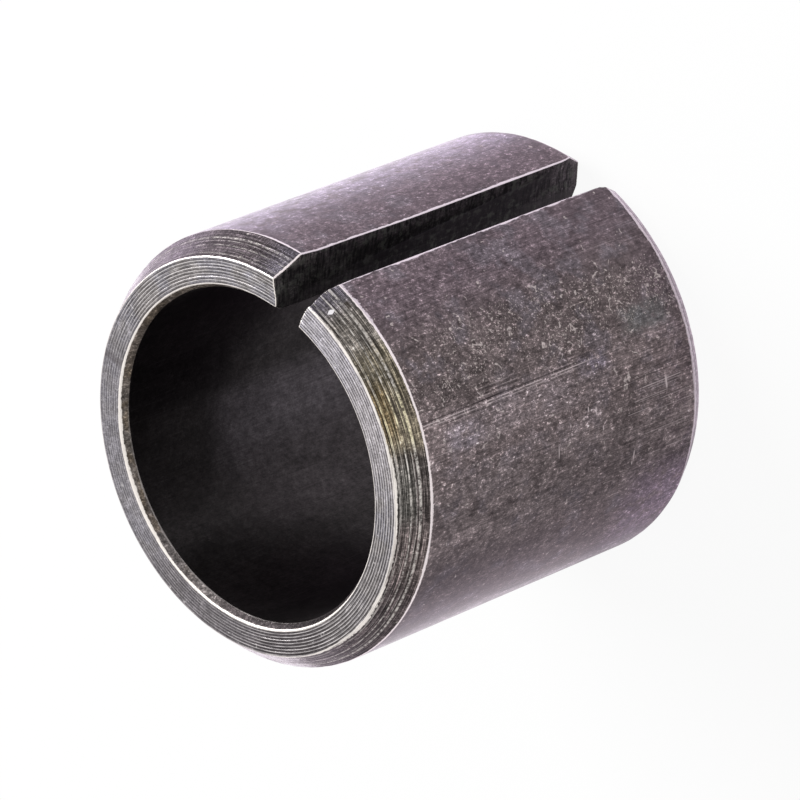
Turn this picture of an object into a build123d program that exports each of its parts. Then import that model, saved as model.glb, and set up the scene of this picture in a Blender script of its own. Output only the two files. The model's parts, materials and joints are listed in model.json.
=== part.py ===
from build123d import *

import os
from math import sqrt

# A split bush: a short steel tube, turned in one piece, with a single slot cut through its wall
# from end to end, so that the ring can give a little as it goes into its hub or grips its pin.
# It stands on its plain end. The bore runs along +Z, the bevelled leading end is up, and the slot
# faces -Y. The origin is on the bore's axis, in the face of the plain end. Sizes are millimetres.

# The tube.
bore_diameter = 20.0
wall_thickness = 3.0
length = 25.0

# The leading end, at the top. Each bevel has a length along the axis and a depth into the wall.
lead_in_length = 1.7
lead_in_depth = 1.08
mouth_bevel_length = 0.5
mouth_bevel_depth = 0.3

# The plain end, at the bottom.
foot_bevel_length = 1.0
foot_bevel_depth = 0.6
foot_mouth_bevel_length = 0.35
foot_mouth_bevel_depth = 0.9

# The slot. Its walls lean apart, so it is wider at the outside than at the bore, and its two long
# outer edges are broken with a small bevel.
slot_width_outside = 2.9
slot_width_inside = 1.9
slot_edge_break = 0.15

# How far the slot's cutting shape runs past the metal on every side.
overrun = 1.0

bore_radius = bore_diameter / 2
outer_radius = bore_radius + wall_thickness


def wall_section():
    """Half section of the wall, outside and bore, with the bevels of both ends."""
    corners = [
        (bore_radius + foot_mouth_bevel_depth, 0),
        (outer_radius - foot_bevel_depth, 0),
        (outer_radius, foot_bevel_length),
        (outer_radius, length - lead_in_length),
        (outer_radius - lead_in_depth, length),
        (bore_radius + mouth_bevel_depth, length),
        (bore_radius, length - mouth_bevel_length),
        (bore_radius, foot_mouth_bevel_length),
    ]
    return Plane.XZ * make_face(Polyline(*corners, close=True))


def depth_where(radius, width):
    """Distance from the axis, along the slot's middle plane, at which a gap of this width
    meets the circle of this radius."""
    return sqrt(radius**2 - (width / 2) ** 2)


def slot_cutter():
    """The space between the slot's walls, as long as the bush and wider at its mouth."""
    near = depth_where(bore_radius, slot_width_inside)
    far = depth_where(outer_radius, slot_width_outside)
    lean = (slot_width_outside - slot_width_inside) / 2 / (far - near)

    def half_width(depth):
        """Half of the slot's width at this distance from the axis."""
        return slot_width_inside / 2 + lean * (depth - near)

    start = near - overrun
    break_start = far - slot_edge_break
    end = far + overrun
    break_lean = (half_width(far) + slot_edge_break - half_width(break_start)) / slot_edge_break
    mouth = half_width(break_start) + break_lean * (end - break_start)
    one_side = [(half_width(start), -start), (half_width(break_start), -break_start), (mouth, -end)]
    other_side = [(-x, y) for x, y in reversed(one_side)]
    outline = make_face(Polyline(*one_side, *other_side, close=True))
    return Pos(0, 0, -overrun) * extrude(outline, amount=length + 2 * overrun, dir=(0, 0, 1))


def split_bush():
    """The turned tube with its slot cut."""
    tube = revolve(wall_section(), axis=Axis.Z)
    return tube - slot_cutter()


os.makedirs("parts", exist_ok=True)
bush = split_bush()
export_step(bush, "parts/split_bush.step")
print("split_bush", round(bush.volume, 1), "cubic millimetres")
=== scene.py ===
# %% [markdown]
# # A split bush in blackened steel
#
# The object is a short steel tube with one slot sawn through its wall from end to end. It was
# turned on a lathe, slotted, blackened in a hot bath and then handled, so its sharp edges have
# rubbed bright again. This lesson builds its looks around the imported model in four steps: the
# turned body as one closed surface, the finishes as node groups, the six surfaces that use them,
# and last the studio. Lengths are thought of in millimetres and handed to Blender in metres.

import json
import math

import bpy
import numpy as np
from mathutils import Matrix, Vector


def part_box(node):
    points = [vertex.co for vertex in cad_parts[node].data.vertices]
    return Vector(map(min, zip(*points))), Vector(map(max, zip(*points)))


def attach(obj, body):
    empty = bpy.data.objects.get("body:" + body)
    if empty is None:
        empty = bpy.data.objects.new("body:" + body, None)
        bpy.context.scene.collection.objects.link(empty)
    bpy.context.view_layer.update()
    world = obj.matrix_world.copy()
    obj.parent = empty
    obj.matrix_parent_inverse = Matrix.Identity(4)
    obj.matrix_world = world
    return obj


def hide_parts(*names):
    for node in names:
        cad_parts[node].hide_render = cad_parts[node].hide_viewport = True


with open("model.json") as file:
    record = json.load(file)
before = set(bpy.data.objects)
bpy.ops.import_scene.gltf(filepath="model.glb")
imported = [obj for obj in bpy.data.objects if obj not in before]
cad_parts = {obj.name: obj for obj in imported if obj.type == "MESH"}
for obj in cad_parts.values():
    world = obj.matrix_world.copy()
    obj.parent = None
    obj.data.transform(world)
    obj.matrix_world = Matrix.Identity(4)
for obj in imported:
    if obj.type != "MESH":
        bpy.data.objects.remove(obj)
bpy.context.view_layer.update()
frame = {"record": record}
MILLIMETRE = 0.001

# %% [markdown]
# ## Sizes taken from the frame
#
# The outside radius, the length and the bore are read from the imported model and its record, so
# that the looks follow the solid when it changes and stay within its box. The small sizes below
# them belong to the edges and to the slot, and they have the same names as in the part's source.

# %% Sizes of the bush
low_corner, high_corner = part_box("split_bush")
mounts = {mount["name"]: mount for mount in frame["record"]["mounts"]}
bore_radius = mounts["bore"]["dims"]["r_mm"]
outer_radius = high_corner.y / MILLIMETRE
length = high_corner.z / MILLIMETRE

lead_in_length = 1.7
lead_in_depth = 1.08
mouth_bevel_length = 0.5
mouth_bevel_depth = 0.3
foot_bevel_length = 1.0
foot_bevel_depth = 0.6
foot_mouth_bevel_length = 0.35
foot_mouth_bevel_depth = 0.9
slot_width_outside = 2.9
slot_width_inside = 1.9
print("bush", 2 * outer_radius, "across,", round(length, 3), "long, bore", 2 * bore_radius)
print("it stands at a height of", low_corner.z)

# %% [markdown]
# ## One grid for the whole turned surface
#
# A turned part is a profile carried round an axis. The profile here is a closed loop through
# eight corners: up the outside, in across the leading end, down the bore and out across the plain
# end. The second parameter goes round the axis from one wall of the slot to the other. Each
# point of the grid is a complex number while it is still in the profile's plane, with the radius
# as its real part and the height as its imaginary part, because turning and adding such numbers
# is plain arithmetic.
#
# Columns of the grid crowd together beside the slot, where the edge is broken, and are even
# elsewhere. Rows are dense where the cutting tool left its rings.

# %% Places of the columns, round the axis
wall_rows = 4
even_columns = 278
edge_fraction = np.sin(np.linspace(0, math.pi / 2, wall_rows + 1))
settle = 1 - np.cos(np.linspace(0, math.pi / 2, wall_rows + 1))
even_fraction = np.linspace(0, 1, even_columns + 1)
columns = 2 * wall_rows + even_columns + 1

start_settle = np.concatenate([settle[:-1], np.ones(columns - wall_rows)])
end_settle = start_settle[::-1]
start_drop = np.concatenate([1 - edge_fraction[:-1], np.zeros(columns - wall_rows)])
end_drop = start_drop[::-1]
travel = np.concatenate([np.zeros(wall_rows), even_fraction, np.ones(wall_rows)])
turn = 360 * travel
print("columns round the axis:", columns)

# %% [markdown]
# ## What turning and handling did to the round shape
#
# The lead-in bevel was cut with the bush a little off centre in the chuck, so it is longer on one
# side than on the other: its length is a mean plus a cosine of the angle. The two lips of the slot
# have sprung inwards a little, one by 0.07 mm and the other by 0.05 mm, and this fades to nothing
# 50 and 30 degrees away from the slot. `ragged` makes the irregular line of a worn edge: seeded
# random heights at even places round the ring, joined smoothly.

# %% Shape changes that depend on the angle
def smooth_step(value, low, high):
    """0 below low, 1 above high, and between them 3 t^2 - 2 t^3 of the way t."""
    t = np.clip((value - low) / (high - low), 0, 1)
    return t * t * (3 - 2 * t)


def fall_step(value, low, high):
    """1 below low, 0 above high: the smooth step the other way round."""
    return smooth_step(-value, -high, -low)


def ragged(seed, places, angle):
    """Random heights from 0 to 1 at even places round the ring, joined by half cosine waves."""
    heights = np.random.default_rng(seed).random(places + 1)
    position = np.clip(angle / 360, 0, 1) * places
    left = np.minimum(position.astype(int), places - 1)
    share = 0.5 - 0.5 * np.cos(math.pi * (position - left))
    return heights[left] * (1 - share) + heights[left + 1] * share


runout = 0.27
runout_mean = lead_in_length - 0.03
runout_angle = -5.0
lead_in = runout_mean + runout * np.cos(np.radians(turn - runout_angle))

sprung_lip = 0.07
sprung_from = 310.0
other_lip = 0.05
other_lip_until = 30.0
lip_curve = 1.5
lip_drop = sprung_lip * smooth_step(turn, sprung_from, 360) ** lip_curve
lip_drop = lip_drop + other_lip * fall_step(turn, 0, other_lip_until) ** lip_curve
print("lead-in length", round(lead_in.min(), 2), "to", round(lead_in.max(), 2))

# %% [markdown]
# ## The profile
#
# Straight stretches and rounded corners alternate. A rounded corner is a quadratic curve that
# starts and ends on the two straights and is pulled towards the corner between them, which for
# such small angles can't be told from an arc. Everything is done for all columns at once.
#
# The bevel at the plain end isn't even: its depth swings twice round the bush, and on one side it
# is a little shorter.

# %% Corners of the profile
face_radius = outer_radius - lead_in_depth
mouth_radius = bore_radius + mouth_bevel_depth
foot_wave = 0.07
foot_wave_angle = 340.0
foot_depth = foot_bevel_depth + foot_wave * np.cos(np.radians(2 * (turn - foot_wave_angle)))
foot_short = 0.14
foot_short_angle = 252.0
foot_short_reach = 12.0
foot_short_fade = 20.0
off_short_side = np.abs(turn - foot_short_angle)
shortened = fall_step(off_short_side, foot_short_reach, foot_short_reach + foot_short_fade)
foot_rim = foot_bevel_length - foot_short * shortened

corner_steps = 4
half_corner = corner_steps // 2
side_steps = 36
bevel_steps = 8
mouth_steps = 4
rings = 8
rows_per_ring = 6
ring_steps = rings * rows_per_ring


def corner(radius, height):
    """A corner of the profile in every column: the radius plus 1j times the height."""
    return radius * np.ones(columns) + 1j * height


# For each stretch: its name, the corner it starts at, that corner's rounding and its steps.
stretches = (
    ("foot_mouth", corner(bore_radius, foot_mouth_bevel_length), 0.05, mouth_steps),
    ("foot_face", corner(bore_radius + foot_mouth_bevel_depth, 0), 0.06, ring_steps),
    ("foot_bevel", corner(outer_radius - foot_depth, 0), 0.06, bevel_steps),
    ("outside", corner(outer_radius, foot_rim), 0.08, side_steps),
    ("lead_in", corner(outer_radius, length - lead_in), 0.08, ring_steps),
    ("face", corner(face_radius, length), 0.06, ring_steps),
    ("mouth", corner(mouth_radius, length), 0.05, mouth_steps),
    ("bore", corner(bore_radius, length - mouth_bevel_length), 0.05, side_steps),
)
zones, corners, reaches, zone_steps = zip(*stretches)
zone_count = len(zones)
print("stretches:", ", ".join(zones))

# %% [markdown]
# The loop of points follows from the corners. The rounding between two straights counts half to
# the stretch before it and half to the one after. Two more lists keep, for each row, its stretch
# and the share of the stretch that lies behind it.

# %% Profile loop with rounded corners
def straight(start, end, steps):
    """Points start + t (end - start) for even t from 0 to 1."""
    t = np.linspace(0, 1, steps + 1)[:, None]
    return start + t * (end - start)


def rounding(start, corner, end, steps):
    """Quadratic curve (1-t)^2 start + 2t(1-t) corner + t^2 end, without its two ends."""
    t = np.linspace(0, 1, steps + 1)[1:-1, None]
    return (1 - t) ** 2 * start + 2 * t * (1 - t) * corner + t**2 * end


def towards(start, end):
    """Direction of unit length from start to end."""
    return (end - start) / np.abs(end - start)


pieces = []
zone_of_row = []
share_of_row = []
for k, steps in enumerate(zone_steps):
    following = (k + 1) % zone_count
    here, there, beyond = corners[k], corners[following], corners[(k + 2) % zone_count]
    first = here + reaches[k] * towards(here, there)
    last = there - reaches[following] * towards(here, there)
    after = there + reaches[following] * towards(there, beyond)
    pieces.append(straight(first, last, steps))
    pieces.append(rounding(last, there, after, corner_steps))
    zone_of_row += [k] * (steps + half_corner) + [following] * half_corner
    share_of_row += list(np.arange(steps) / steps) + [1.0] * half_corner + [0.0] * half_corner
profile = np.concatenate(pieces)
zone_of_row = np.array(zone_of_row)
share_of_row = np.array(share_of_row)[:, None]
rows = len(profile)
print("points along the profile:", rows, "rows per zone:", np.bincount(zone_of_row))

# %% [markdown]
# ## Distances along the profile
#
# The finishes need to know how far a point is from the two edges of its own stretch. The lengths
# of the steps are summed along the loop, and each row of faces gets the distance to the corner
# where its stretch starts and to the corner where it ends.

# %% Distance from the start and to the end of each stretch
step_length = np.abs(np.roll(profile, -1, axis=0) - profile)
along = np.concatenate([np.zeros((1, columns)), np.cumsum(step_length, axis=0)])
loop_length = along[-1]
rows_so_far = np.cumsum([steps + corner_steps for steps in zone_steps])
zone_end_row = [int(row) - half_corner for row in rows_so_far]
zone_start_row = [-half_corner] + zone_end_row[:-1]
rounding_slack = 1e-6


def along_at(row):
    """Distance along the loop at this row, also one lap back or forward."""
    lap = row // rows
    return along[row - lap * rows] + lap * loop_length


def zone_distance(line):
    """Distance along the loop from the start of each row's own stretch, for one edge of the row."""
    past_start = line - zone_start[zone_of_row] + rounding_slack
    return np.mod(past_start, loop_length) - rounding_slack


zone_start = np.stack([along_at(row) for row in zone_start_row])
zone_end = np.stack([along_at(row) for row in zone_end_row])
print("mean width of each zone:", dict(zip(zones, np.round((zone_end - zone_start).mean(1), 2))))

# %% [markdown]
# ## Tool rings, worn edges and dents
#
# A facing tool with a round nose leaves shallow hollows side by side, with a ridge between each
# pair. A hollow is a parabola: 1 - (2t - 1)^2 of its depth, where t runs from 0 to 1 across it.
# Each ring has six rows of the grid, so that every ridge lies on a row and stays sharp, and some
# rings are cut deeper than others. They are half as deep on the side where the leading end was
# rubbed. Dents along the edges use the ragged line. All of them are depths, measured inwards, so
# the bush never grows.

# %% Depth of the surface below its nominal shape
ring_depth = 0.015
lead_in_ring_depth = 0.006
rubbed_share = 0.5
rubbed_from, rubbed_until, rubbed_fade = 105.0, 185.0, 30.0
dent_depth = 0.035
dent_reach = 0.09
dent_places = 150
dent_group_places = 23


def hollows(depth, seed):
    """Rings side by side: depth times 1 - (2t - 1)^2, with t the part of a ring gone."""
    turns = share_of_row * rings
    t = np.mod(turns, 1)
    uneven = 0.5 + np.random.default_rng(seed).random(rings + 1)[np.floor(turns).astype(int)]
    return depth * uneven * (1 - (2 * t - 1) ** 2) * (share_of_row > 0) * (share_of_row < 1)


def near_edge(distance, reach):
    """1 on an edge, falling like a bell curve over the reach."""
    return np.exp(-((distance / reach) ** 2))


in_zone = {name: (zone_of_row == k)[:, None] for k, name in enumerate(zones)}
rubbed = smooth_step(turn, rubbed_from - rubbed_fade, rubbed_from)
rubbed = rubbed_share * rubbed * fall_step(turn, rubbed_until, rubbed_until + rubbed_fade)
depth = hollows(ring_depth, seed=11) * in_zone["face"] * (1 - rubbed)
depth = depth + hollows(ring_depth, seed=12) * in_zone["foot_face"]
depth = depth + hollows(lead_in_ring_depth, seed=13) * in_zone["lead_in"]
half_loop = loop_length / 2
for k, edge_line in enumerate(zone_start):
    distance = np.abs(np.mod(along[:-1] - edge_line + half_loop, loop_length) - half_loop)
    bite = ragged(40 + k, dent_places, turn) ** 3 * ragged(60 + k, dent_group_places, turn)
    depth = depth + dent_depth * bite * near_edge(distance, dent_reach)
first_ring = reaches[zones.index("face")]
flat_width = face_radius - mouth_radius - first_ring - reaches[zones.index("mouth")]
ring_pitch = flat_width / rings
print("deepest mark", round(float(depth.max()), 4), "ring pitch", round(ring_pitch, 3))

# %% [markdown]
# ## The broken edges beside the slot
#
# Sawing leaves a burr, and a few strokes of a file take it off. So the last rows before each wall
# of the slot sink along a quarter circle, a little deeper on the outside than on the ends. The
# surface sinks along its own inward direction: the direction of travel along the loop, turned a
# right angle to the left, which for a complex number is a product with 1j.

# %% Sink the surface
edge_break = np.full(zone_count, 0.06)
edge_break[zones.index("outside")] = 0.09
edge_break[zones.index("lead_in")] = 0.08
blur_reach = 2
blur_rows = 2 * blur_reach + 1
break_of_row = edge_break[zone_of_row]
padded = np.concatenate([break_of_row[-blur_reach:], break_of_row, break_of_row[:blur_reach]])
break_of_row = np.convolve(padded, np.ones(blur_rows) / blur_rows, "valid")[:, None]

tangent = np.roll(profile, -1, axis=0) - np.roll(profile, 1, axis=0)
inward = 1j * tangent / np.abs(tangent)
sunk = profile + inward * (depth + break_of_row * (start_drop + end_drop)) - lip_drop
print("surface rows and columns:", sunk.shape)

# %% [markdown]
# ## The walls of the slot
#
# The saw went a little askew on each side, so the two walls lean apart: the half width grows in
# a straight line from the bore to the outside. It is a function of the point in the profile's
# plane, and the angle at which a wall cuts through a circle is the arc sine of the half width
# over the radius.
#
# The lips aren't straight. At the leading end the plus lip was broken with a file, so it flares in
# three stages: a long one, a front one and a short one at the tip. The minus lip was only rounded,
# so it swells a little into the slot there, and it stands closer to the slot's middle over its
# whole height, most of all between the two ends. At the plain end both lips flare.

# %% Half width of the slot and the angle of its walls
near_depth = math.sqrt(bore_radius**2 - (slot_width_inside / 2) ** 2)
far_depth = math.sqrt(outer_radius**2 - (slot_width_outside / 2) ** 2)
wall_lean = (slot_width_outside - slot_width_inside) / 2 / (far_depth - near_depth)
solve_rounds = 3
# Flares of the plus lip: size, and the distances from the leading end where it starts and is full.
plus_flares = ((0.17, 3.6, 1.9), (0.18, 12, 4), (0.1, 1.2, 0))
# Flare at the plain end: size, and the heights where it starts and is full.
foot_flare = {"plus": (0.2, 1.7, 0.3), "minus": (0.3, 1.35, 0.8)}
face_swell = 0.08
bevel_swell = 0.17
swell_from, swell_full = 2.4, 1.4
minus_shift = 0.05
outer_shift = 0.07
shift_rises = (2, 5)
shift_falls = (length - 3, length - 1.5)


def half_width(place, side):
    """Half of the slot's width at points of the profile's plane: a straight lean, and the corners.
    The depth along the slot's middle plane is the root of radius^2 - width^2, found in 3 rounds."""
    radius, height = place.real, place.imag
    width = np.full(place.shape, slot_width_inside / 2)
    for _ in range(solve_rounds):
        width = slot_width_inside / 2 + wall_lean * (np.sqrt(radius**2 - width**2) - near_depth)
    outward = smooth_step(radius, mouth_radius, outer_radius)
    flare, starts, full = foot_flare[side]
    foot = flare * fall_step(height, full, starts) * outward
    if side == "plus":
        to_face = smooth_step(radius, mouth_radius, face_radius)
        front = 0
        for flare, starts, full in plus_flares:
            front = front + flare * to_face * smooth_step(height, length - starts, length - full)
    else:
        on_face = np.clip((radius - mouth_radius) / (face_radius - mouth_radius), 0, 1)
        on_bevel = np.clip((radius - face_radius) / lead_in_depth, 0, 1)
        swell = face_swell * np.sin(math.pi * on_face) + bevel_swell * np.sin(math.pi * on_bevel)
        near_front = smooth_step(height, length - swell_from, length - swell_full)
        middle = smooth_step(height, *shift_rises) * fall_step(height, *shift_falls)
        front = -swell * near_front - minus_shift - outer_shift * middle * outward
    return width + front + foot


def wall_angle(place, side):
    """Angle from the slot's middle at which the wall meets the circle through each point."""
    return np.arcsin(half_width(place, side) / place.real)


radius, height = sunk.real, sunk.imag
start_angle = wall_angle(sunk, "plus") + break_of_row * start_settle / radius
end_angle = 2 * math.pi - wall_angle(sunk, "minus") - break_of_row * end_settle / radius
angle = start_angle * (1 - travel) + end_angle * travel
surface = np.stack([radius * np.sin(angle), -radius * np.cos(angle), height], axis=-1)
half_way_up = np.array([outer_radius + 1j * length / 2])
width_there = half_width(half_way_up, "plus") + half_width(half_way_up, "minus")
print("slot", round(float(width_there[0]), 2), "mm wide outside, half way up")

# %% [markdown]
# ## Closing the grid with the two walls
#
# Each wall is a second grid with the same points on its rim as the turned surface has in its
# first or last column, so nothing is left open. Inside the rim the points are blended from the
# four sides, which is called a Coons patch: the sum of the blend between left and right and the
# blend between bottom and top, less the blend of the four corners.

# %% Wall patches
side_rows = side_steps + corner_steps
first_row = zone_start_row[0]
end_rows = zone_start_row[zones.index("outside")] - first_row
end_steps = np.arange(end_rows + 1)
upward_steps = np.arange(side_rows + 1)
rim = {
    "bottom": (first_row + end_steps) % rows,
    "outside": (first_row + end_rows + upward_steps) % rows,
    "top": (first_row + 2 * end_rows + side_rows - end_steps) % rows,
    "bore": (first_row + 2 * end_rows + 2 * side_rows - upward_steps) % rows,
}
u = np.linspace(0, 1, end_rows + 1)[:, None]
v = np.linspace(0, 1, side_rows + 1)[None, :]
wall_bulge = 0.05
bulge_corner = 12
saw_wave = 0.008
fast_up, fast_out, slow_up = 5.1, 2.3, 1.7


def coons(values):
    """Patch from its rim: (1 - u) left + u right, plus (1 - v) bottom + v top, less the same blend
    of the four corners. u runs from the bore to the outside and v upwards."""
    bottom, top = values[rim["bottom"]], values[rim["top"]]
    left, right = values[rim["bore"]], values[rim["outside"]]
    across = (1 - u) * left[None, :] + u * right[None, :]
    upward = (1 - v) * bottom[:, None] + v * top[:, None]
    low = (1 - u) * bottom[0] + u * bottom[-1]
    high = (1 - u) * top[0] + u * top[-1]
    return across + upward - (1 - v) * low - v * high


def wall_points(side, column):
    """Points inside one wall's rim. A saw leaves the wall a little full in the middle, as high as
    4 u (1 - u) of the bulge, and wavy: a product of two sines that is nothing on the rim."""
    patch = coons(sunk[:, column])
    fullness = wall_bulge * 4 * u * (1 - u) * np.minimum(1, bulge_corner * v * (1 - v))
    fast_wave = np.sin(patch.imag * fast_up + patch.real * fast_out)
    waves = saw_wave * fast_wave * np.sin(patch.imag * slow_up)
    relief = fullness + waves * 16 * u * (1 - u) * v * (1 - v)
    width = half_width(patch, side) - relief
    sign = 1 if side == "plus" else -1
    points = np.stack([sign * width, -np.sqrt(patch.real**2 - width**2), patch.imag], axis=-1)
    return points[1:-1, 1:-1].reshape(-1, 3)


def wall_grid(column, first_new):
    """Index of the vertex at each place of the patch: the rim's are those of the turned surface."""
    grid = np.empty((end_rows + 1, side_rows + 1), int)
    inner = (end_rows - 1) * (side_rows - 1)
    grid[1:-1, 1:-1] = (first_new + np.arange(inner)).reshape(end_rows - 1, side_rows - 1)
    grid[:, 0] = rim["bottom"] * columns + column
    grid[:, -1] = rim["top"] * columns + column
    grid[0, :] = rim["bore"] * columns + column
    grid[-1, :] = rim["outside"] * columns + column
    return grid


plus_wall = wall_points("plus", 0)
minus_wall = wall_points("minus", columns - 1)
turned_count = rows * columns
plus_grid = wall_grid(0, turned_count)
minus_grid = wall_grid(columns - 1, turned_count + len(plus_wall))
points = np.concatenate([surface.reshape(-1, 3), plus_wall, minus_wall])
print("vertices:", len(points))

# %% [markdown]
# ## From grids to faces
#
# Four neighbours of a grid make a face. The order of its corners decides which side is the
# outside, so one helper makes all three sets and a flag turns the order round. The volume inside
# the finished surface is a sum over its faces, and it is close to the solid's own volume only if
# the surface is closed and faces outwards, so it is printed as a check.

# %% Faces, and the mesh
def grid_faces(a, b, c, d, flip=False):
    """Four-cornered faces from the indices of their corners, in order or reversed."""
    faces = np.stack([a.ravel(), b.ravel(), c.ravel(), d.ravel()], axis=-1)
    return faces[:, ::-1] if flip else faces


def patch_faces(grid, flip):
    """Faces of a wall patch."""
    return grid_faces(grid[:-1, :-1], grid[1:, :-1], grid[1:, 1:], grid[:-1, 1:], flip)


row_start = np.arange(rows)[:, None] * columns
next_row_start = ((np.arange(rows) + 1) % rows)[:, None] * columns
column_index = np.arange(columns - 1)[None, :]
turned_faces = grid_faces(
    row_start + column_index,
    row_start + column_index + 1,
    next_row_start + column_index + 1,
    next_row_start + column_index,
)
plus_faces = patch_faces(plus_grid, False)
minus_faces = patch_faces(minus_grid, True)
faces = np.concatenate([turned_faces, plus_faces, minus_faces])


def enclosed_volume(points, faces):
    """Sum over the triangles of their corners' triple product, divided by six."""
    a, b, c, d = (points[faces[:, k]] for k in range(4))
    first = np.einsum("ij,ij->i", a, np.cross(b, c)).sum()
    second = np.einsum("ij,ij->i", a, np.cross(c, d)).sum()
    return (first + second) / 6


def add_object(name, data):
    """A new object with this data, in the scene."""
    made = bpy.data.objects.new(name, data)
    bpy.context.scene.collection.objects.link(made)
    return made


mesh = bpy.data.meshes.new("turned_bush")
mesh.from_pydata((points * MILLIMETRE).tolist(), [], faces.tolist())
mesh.update()
bush = add_object("turned_bush", mesh)
mesh.polygons.foreach_set("use_smooth", np.ones(len(mesh.polygons), bool))
print("faces:", len(faces), "volume:", round(enclosed_volume(points, faces), 1), "cubic mm")

# %% [markdown]
# ## What the finishes read from the mesh
#
# Three things are stored with the mesh. `around` is the angle from the slot in degrees and
# `from_slot` the distance to the nearer wall of the slot, both kept on the points. The UV map
# `edges` holds the distance from the start of a stretch of the profile in U and the distance to
# its end in V, in millimetres. It belongs to the corners of the faces, because a point on an edge
# is the end of one stretch and the start of the next.

# %% Attributes and the UV map
def face_corners(lower, upper):
    """Values at the four corners of every turned face, from those on the two edges of its row."""
    return np.stack([lower[:, :-1], lower[:, 1:], upper[:, 1:], upper[:, :-1]], -1)


lower = zone_distance(along[:-1])
upper = zone_distance(along[1:])
width = (zone_end - zone_start)[zone_of_row]
corner_from = face_corners(lower, upper)
corner_to = face_corners(width - lower, width - upper)
turned_uv = np.stack([corner_from, corner_to], -1).reshape(-1, 2)

wall_faces = np.concatenate([plus_faces, minus_faces])
wall_corners = points[wall_faces.ravel()]
wall_radius = np.hypot(wall_corners[:, 0], wall_corners[:, 1])
wall_uv = np.stack([wall_radius - bore_radius, outer_radius - wall_radius], -1)
uv_layer = mesh.uv_layers.new(name="edges")
uv_layer.data.foreach_set("uv", np.concatenate([turned_uv, wall_uv]).ravel())

to_plus_wall = (angle - wall_angle(sunk, "plus")) * radius
to_minus_wall = (2 * math.pi - wall_angle(sunk, "minus") - angle) * radius
around_value = np.concatenate([
    np.degrees(angle).ravel(), np.zeros(len(plus_wall)), np.full(len(minus_wall), 360.0)])
slot_value = np.concatenate([
    np.minimum(to_plus_wall, to_minus_wall).ravel(), np.zeros(len(plus_wall) + len(minus_wall))])
for name, values in (("around", around_value), ("from_slot", slot_value)):
    attribute = mesh.attributes.new(name, "FLOAT", "POINT")
    attribute.data.foreach_set("value", values.astype(np.float32))
print("widest U:", round(float(turned_uv.max()), 2), "mm, farthest from the slot:",
      round(float(slot_value.max()), 1), "mm")

# %% [markdown]
# ## A short way to write node trees
#
# A node tree is a set of small sums, so the helper below lets each node be one line: every method
# adds a node and returns its output, and its arguments may be plain numbers, colours or the
# outputs of other nodes. `screen` turns a colour as it is seen on a screen, 0 to 255, into the
# linear values that Blender's sockets hold.

# %% Node helper
def screen(red, green, blue):
    """Linear colour from a screen colour: ((c + 0.055) / 1.055) ^ 2.4 above the straight part."""
    share = np.array([red, green, blue]) / 255
    linear = np.where(share > 0.04045, ((share + 0.055) / 1.055) ** 2.4, share / 12.92)
    return (*linear.tolist(), 1.0)


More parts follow.
